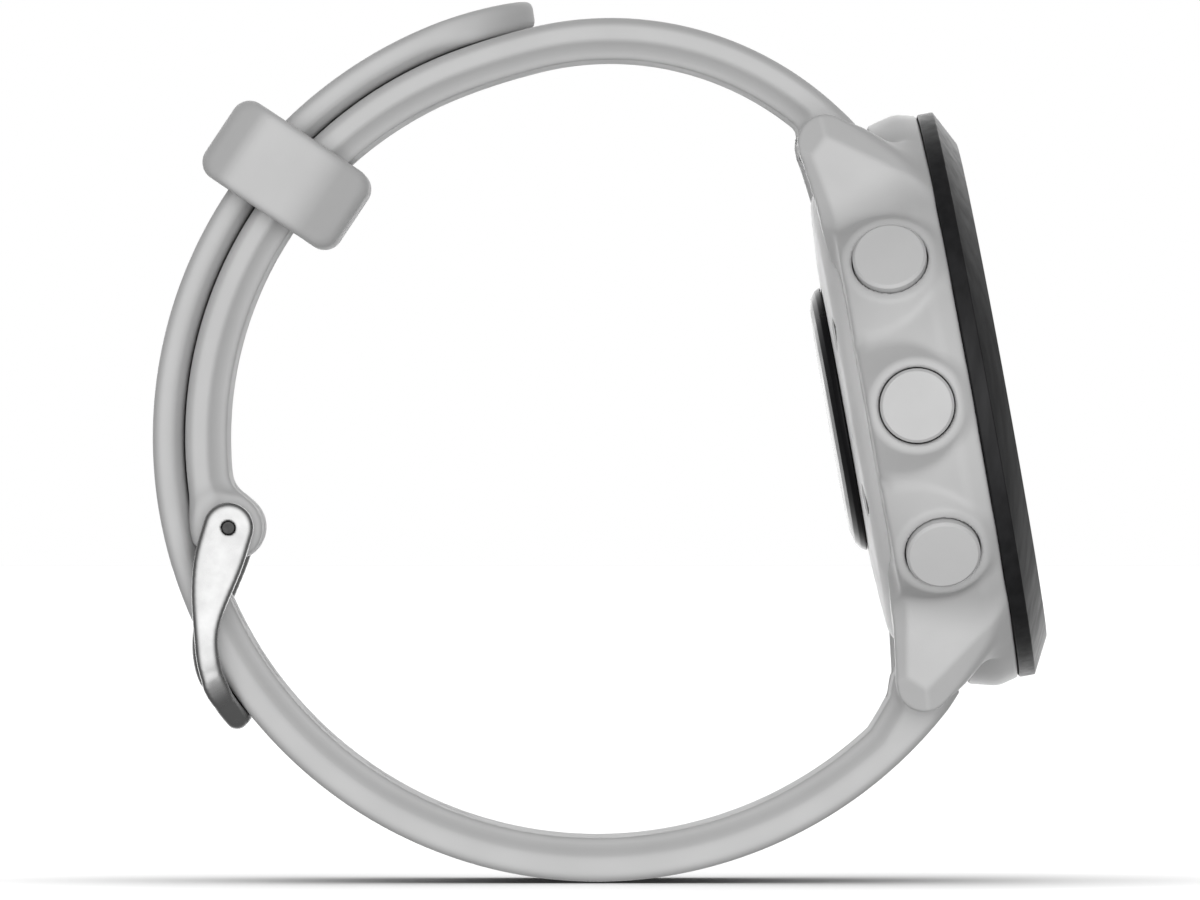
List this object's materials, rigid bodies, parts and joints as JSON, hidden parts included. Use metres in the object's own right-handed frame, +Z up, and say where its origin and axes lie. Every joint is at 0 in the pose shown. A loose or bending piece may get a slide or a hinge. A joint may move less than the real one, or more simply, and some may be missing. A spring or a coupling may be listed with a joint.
{
  "type": "gps running watch",
  "caption": "Round GPS running watch with side buttons, optical sensor back and a closed silicone strap with pin buckle and keeper.",
  "frame": {"origin": "centre of the circle that the closed strap loop follows, where a wrist passes, midway across the strap", "axes": "+X towards the display side, +Y along the spring bars away from the three-button side, +Z up; the display leans back 10.34 degrees from +X towards +Z"},
  "size_m": [0.0654, 0.0436, 0.0644],
  "materials": {
    "case_polymer": "satin, moulded, fine even grain",
    "strap_silicone": "matte silicone",
    "bezel_polymer": "satin with a light brushed sheen",
    "display_glass": "gloss",
    "adhesive": "matte",
    "display": "gloss",
    "inner_plastic": "matte",
    "flex_film": "satin",
    "gold": "satin",
    "circuit_board": "satin solder mask",
    "tin_shield": "satin",
    "chip_resin": "matte",
    "battery_foil": "satin foil",
    "steel": "brushed",
    "spring_steel": "drawn wire",
    "tungsten": "machined",
    "seal_rubber": "matte",
    "sensor_gloss": "gloss black",
    "led_resin": "gloss"
  },
  "bodies": {
    "case": {"case_body": "case_polymer", "bezel": "bezel_polymer", "lens": "display_glass", "lens_gasket": "adhesive", "display_panel": "display", "display_carrier": "inner_plastic", "display_flex": "flex_film", "gps_antenna": "gold", "main_board": "circuit_board", "shield_can": "tin_shield", "board_chips": "chip_resin", "battery": "battery_foil", "battery_pad": "adhesive", "vibration_motor_case": "steel", "sounder": "gold", "switch_flex_left": "flex_film", "switch_flex_right": "flex_film", "case_back": "case_polymer", "case_back_gasket": "seal_rubber", "case_back_screws": "steel", "sensor_window": "sensor_gloss", "sensor_board": "circuit_board", "sensor_leds": "led_resin", "charging_contacts": "gold", "button_seals": "seal_rubber", "strap_short": "strap_silicone", "strap_long": "strap_silicone", "buckle_bar_sleeve": "steel", "buckle_bar_tips": "steel", "spring_light": "spring_steel", "spring_up": "spring_steel", "spring_down": "spring_steel", "spring_start": "spring_steel", "spring_back": "spring_steel", "upper_bar_sleeve": "steel", "upper_bar_tip": "steel", "upper_bar_spring": "spring_steel", "lower_bar_sleeve": "steel", "lower_bar_tip": "steel", "lower_bar_spring": "spring_steel"},
    "button_light": {"button_light": "case_polymer", "clip_light": "steel"},
    "button_up": {"button_up": "case_polymer", "clip_up": "steel"},
    "button_down": {"button_down": "case_polymer", "clip_down": "steel"},
    "button_start": {"button_start": "case_polymer", "clip_start": "steel"},
    "button_back": {"button_back": "case_polymer", "clip_back": "steel"},
    "keeper": {"keeper_loop": "strap_silicone"},
    "buckle": {"buckle_frame": "steel"},
    "tongue": {"buckle_tongue": "steel"},
    "upper_release": {"upper_bar_release": "steel"},
    "lower_release": {"lower_bar_release": "steel"},
    "motor_rotor": {"vibration_motor_rotor": "tungsten"}
  },
  "joints": [
    {"name": "press_light", "type": "slide", "parent": "case", "child": "button_light", "axis": [0.0897, 0.866, -0.4919], "range_m": [0, 0.00045], "stiffness_N_per_m": 2500, "springref_m": -0.0004, "deforming": ["spring_light"]},
    {"name": "press_up", "type": "slide", "parent": "case", "child": "button_up", "axis": [0, 1, 0], "range_m": [0, 0.00045], "stiffness_N_per_m": 2500, "springref_m": -0.0004, "deforming": ["spring_up"]},
    {"name": "press_down", "type": "slide", "parent": "case", "child": "button_down", "axis": [-0.0897, 0.866, 0.4919], "range_m": [0, 0.00045], "stiffness_N_per_m": 2500, "springref_m": -0.0004, "deforming": ["spring_down"]},
    {"name": "press_start", "type": "slide", "parent": "case", "child": "button_start", "axis": [0.0897, -0.866, -0.4919], "range_m": [0, 0.00045], "stiffness_N_per_m": 2500, "springref_m": -0.0004, "deforming": ["spring_start"]},
    {"name": "press_back", "type": "slide", "parent": "case", "child": "button_back", "axis": [-0.0897, -0.866, 0.4919], "range_m": [0, 0.00045], "stiffness_N_per_m": 2500, "springref_m": -0.0004, "deforming": ["spring_back"]},
    {"name": "keeper_slide", "type": "hinge", "parent": "case", "child": "keeper", "pos_m": [0, 0, 0], "axis": [0, 1, 0], "range_deg": [-36, 20]},
    {"name": "buckle_swing", "type": "hinge", "parent": "case", "child": "buckle", "pos_m": [-0.0269, 0, -0.0066], "axis": [0, 1, 0], "range_deg": [0, 4]},
    {"name": "tongue_swing", "type": "hinge", "parent": "buckle", "child": "tongue", "pos_m": [-0.0269, 0, -0.0066], "axis": [0, 1, 0], "range_deg": [0, 1.5]},
    {"name": "upper_release_slide", "type": "slide", "parent": "case", "child": "upper_release", "axis": [0, -1, 0], "range_m": [0, 0.0015], "stiffness_N_per_m": 700, "springref_m": -0.001, "deforming": ["upper_bar_spring"]},
    {"name": "lower_release_slide", "type": "slide", "parent": "case", "child": "lower_release", "axis": [0, -1, 0], "range_m": [0, 0.0015], "stiffness_N_per_m": 700, "springref_m": -0.001, "deforming": ["lower_bar_spring"]},
    {"name": "motor_spin", "type": "hinge", "parent": "case", "child": "motor_rotor", "pos_m": [0.0239, -0.0055, -0.00825], "axis": [0.9838, 0, 0.1795], "continuous": true}
  ]
}
